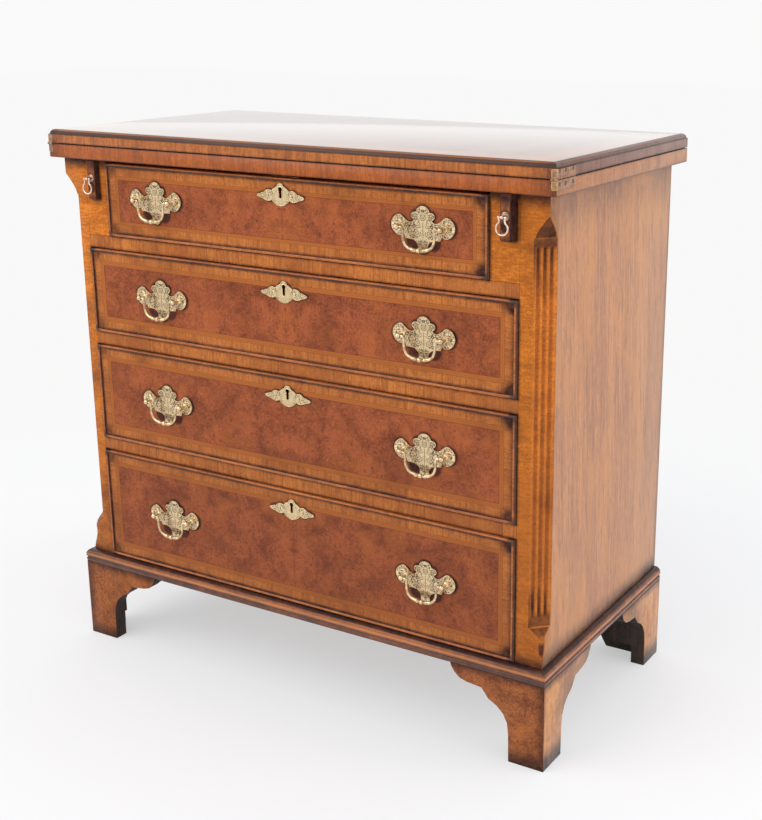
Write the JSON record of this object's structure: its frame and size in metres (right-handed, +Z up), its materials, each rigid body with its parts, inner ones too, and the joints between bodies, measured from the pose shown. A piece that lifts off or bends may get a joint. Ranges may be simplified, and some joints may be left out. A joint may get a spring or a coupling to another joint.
{
  "type": "bachelor's chest",
  "caption": "Low walnut chest of drawers with a fold-over top carried on pull-out lopers, fluted canted corners and bracket feet.",
  "frame": {"origin": "on the floor, under the middle of the closed chest's bounding box", "axes": "+X to the chest's right as seen from the front, -Y out of the drawer fronts, +Z up"},
  "size_m": [0.8238, 0.4302, 0.8],
  "materials": {
    "walnut_leaf": "polished walnut, crossbanded",
    "walnut_side": "polished plain walnut, grain upright",
    "walnut_front": "polished cross-grained walnut",
    "burr_walnut": "polished burr walnut veneer",
    "walnut_moulding": "polished cross-grained moulding",
    "drawer_oak": "plain waxed oak",
    "plain_board": "dry stained board",
    "antique_brass": "aged pale brass",
    "ring_copper": "reddish brass, worn bright"
  },
  "bodies": {
    "carcase": {"back_panel": "plain_board", "base_moulding": "walnut_moulding", "carcase_bottom": "plain_board", "corner_post_left": "walnut_front", "corner_post_right": "walnut_front", "drawer_divider_1": "walnut_front", "drawer_divider_2": "walnut_front", "drawer_divider_3": "walnut_front", "foot_front_left": "burr_walnut", "foot_front_right": "burr_walnut", "foot_rear_left": "burr_walnut", "foot_rear_right": "burr_walnut", "hinge_plate_lower_left": "antique_brass", "hinge_plate_lower_right": "antique_brass", "loper_housing_left": "walnut_front", "loper_housing_right": "walnut_front", "lower_leaf": "walnut_leaf", "side_panel_left": "walnut_side", "side_panel_right": "walnut_side"},
    "bail_1_left": {"bail_1_left": "antique_brass"},
    "bail_1_right": {"bail_1_right": "antique_brass"},
    "bail_2_left": {"bail_2_left": "antique_brass"},
    "bail_2_right": {"bail_2_right": "antique_brass"},
    "bail_3_left": {"bail_3_left": "antique_brass"},
    "bail_3_right": {"bail_3_right": "antique_brass"},
    "bail_4_left": {"bail_4_left": "antique_brass"},
    "bail_4_right": {"bail_4_right": "antique_brass"},
    "drawer_1": {"drawer_bottom_1": "drawer_oak", "drawer_box_1": "drawer_oak", "drawer_front_1": "burr_walnut", "escutcheon_1": "antique_brass", "handle_plate_1_left": "antique_brass", "handle_plate_1_right": "antique_brass"},
    "drawer_2": {"drawer_bottom_2": "drawer_oak", "drawer_box_2": "drawer_oak", "drawer_front_2": "burr_walnut", "escutcheon_2": "antique_brass", "handle_plate_2_left": "antique_brass", "handle_plate_2_right": "antique_brass"},
    "drawer_3": {"drawer_bottom_3": "drawer_oak", "drawer_box_3": "drawer_oak", "drawer_front_3": "burr_walnut", "escutcheon_3": "antique_brass", "handle_plate_3_left": "antique_brass", "handle_plate_3_right": "antique_brass"},
    "drawer_4": {"drawer_bottom_4": "drawer_oak", "drawer_box_4": "drawer_oak", "drawer_front_4": "burr_walnut", "escutcheon_4": "antique_brass", "handle_plate_4_left": "antique_brass", "handle_plate_4_right": "antique_brass"},
    "flap": {"hinge_plate_upper_left": "antique_brass", "hinge_plate_upper_right": "antique_brass", "upper_leaf": "walnut_leaf"},
    "loper_left": {"loper_left": "walnut_front", "pull_post_left": "ring_copper"},
    "loper_right": {"loper_right": "walnut_front", "pull_post_right": "ring_copper"},
    "ring_left": {"pull_ring_left": "ring_copper"},
    "ring_right": {"pull_ring_right": "ring_copper"}
  },
  "joints": [
    {"name": "flap_hinge", "type": "hinge", "parent": "carcase", "child": "flap", "pos_m": [0, -0.2014, 0.78], "axis": [1, 0, 0], "range_deg": [0, 180]},
    {"name": "loper_left_slide", "type": "slide", "parent": "carcase", "child": "loper_left", "axis": [0, -1, 0], "range_m": [0, 0.26]},
    {"name": "ring_left_swing", "type": "hinge", "parent": "loper_left", "child": "ring_left", "pos_m": [-0.337, -0.2047, 0.733], "axis": [-1, 0, 0], "range_deg": [0, 170]},
    {"name": "loper_right_slide", "type": "slide", "parent": "carcase", "child": "loper_right", "axis": [0, -1, 0], "range_m": [0, 0.26]},
    {"name": "ring_right_swing", "type": "hinge", "parent": "loper_right", "child": "ring_right", "pos_m": [0.3455, -0.2127, 0.733], "axis": [-1, 0, 0], "range_deg": [0, 170]},
    {"name": "drawer_1_slide", "type": "slide", "parent": "carcase", "child": "drawer_1", "axis": [0, -1, 0], "range_m": [0, 0.28]},
    {"name": "bail_1_left_swing", "type": "hinge", "parent": "drawer_1", "child": "bail_1_left", "pos_m": [-0.2215, -0.2011, 0.70762], "axis": [-1, 0, 0], "range_deg": [0, 175]},
    {"name": "bail_1_right_swing", "type": "hinge", "parent": "drawer_1", "child": "bail_1_right", "pos_m": [0.2215, -0.2011, 0.70762], "axis": [-1, 0, 0], "range_deg": [0, 175]},
    {"name": "drawer_2_slide", "type": "slide", "parent": "carcase", "child": "drawer_2", "axis": [0, -1, 0], "range_m": [0, 0.28]},
    {"name": "bail_2_left_swing", "type": "hinge", "parent": "drawer_2", "child": "bail_2_left", "pos_m": [-0.2215, -0.2011, 0.567], "axis": [-1, 0, 0], "range_deg": [0, 175]},
    {"name": "bail_2_right_swing", "type": "hinge", "parent": "drawer_2", "child": "bail_2_right", "pos_m": [0.2215, -0.2011, 0.567], "axis": [-1, 0, 0], "range_deg": [0, 175]},
    {"name": "drawer_3_slide", "type": "slide", "parent": "carcase", "child": "drawer_3", "axis": [0, -1, 0], "range_m": [0, 0.28]},
    {"name": "bail_3_left_swing", "type": "hinge", "parent": "drawer_3", "child": "bail_3_left", "pos_m": [-0.2215, -0.2011, 0.41034], "axis": [-1, 0, 0], "range_deg": [0, 175]},
    {"name": "bail_3_right_swing", "type": "hinge", "parent": "drawer_3", "child": "bail_3_right", "pos_m": [0.2215, -0.2011, 0.41034], "axis": [-1, 0, 0], "range_deg": [0, 175]},
    {"name": "drawer_4_slide", "type": "slide", "parent": "carcase", "child": "drawer_4", "axis": [0, -1, 0], "range_m": [0, 0.28]},
    {"name": "bail_4_left_swing", "type": "hinge", "parent": "drawer_4", "child": "bail_4_left", "pos_m": [-0.2215, -0.2011, 0.23055], "axis": [-1, 0, 0], "range_deg": [0, 175]},
    {"name": "bail_4_right_swing", "type": "hinge", "parent": "drawer_4", "child": "bail_4_right", "pos_m": [0.2215, -0.2011, 0.23055], "axis": [-1, 0, 0], "range_deg": [0, 175]}
  ]
}
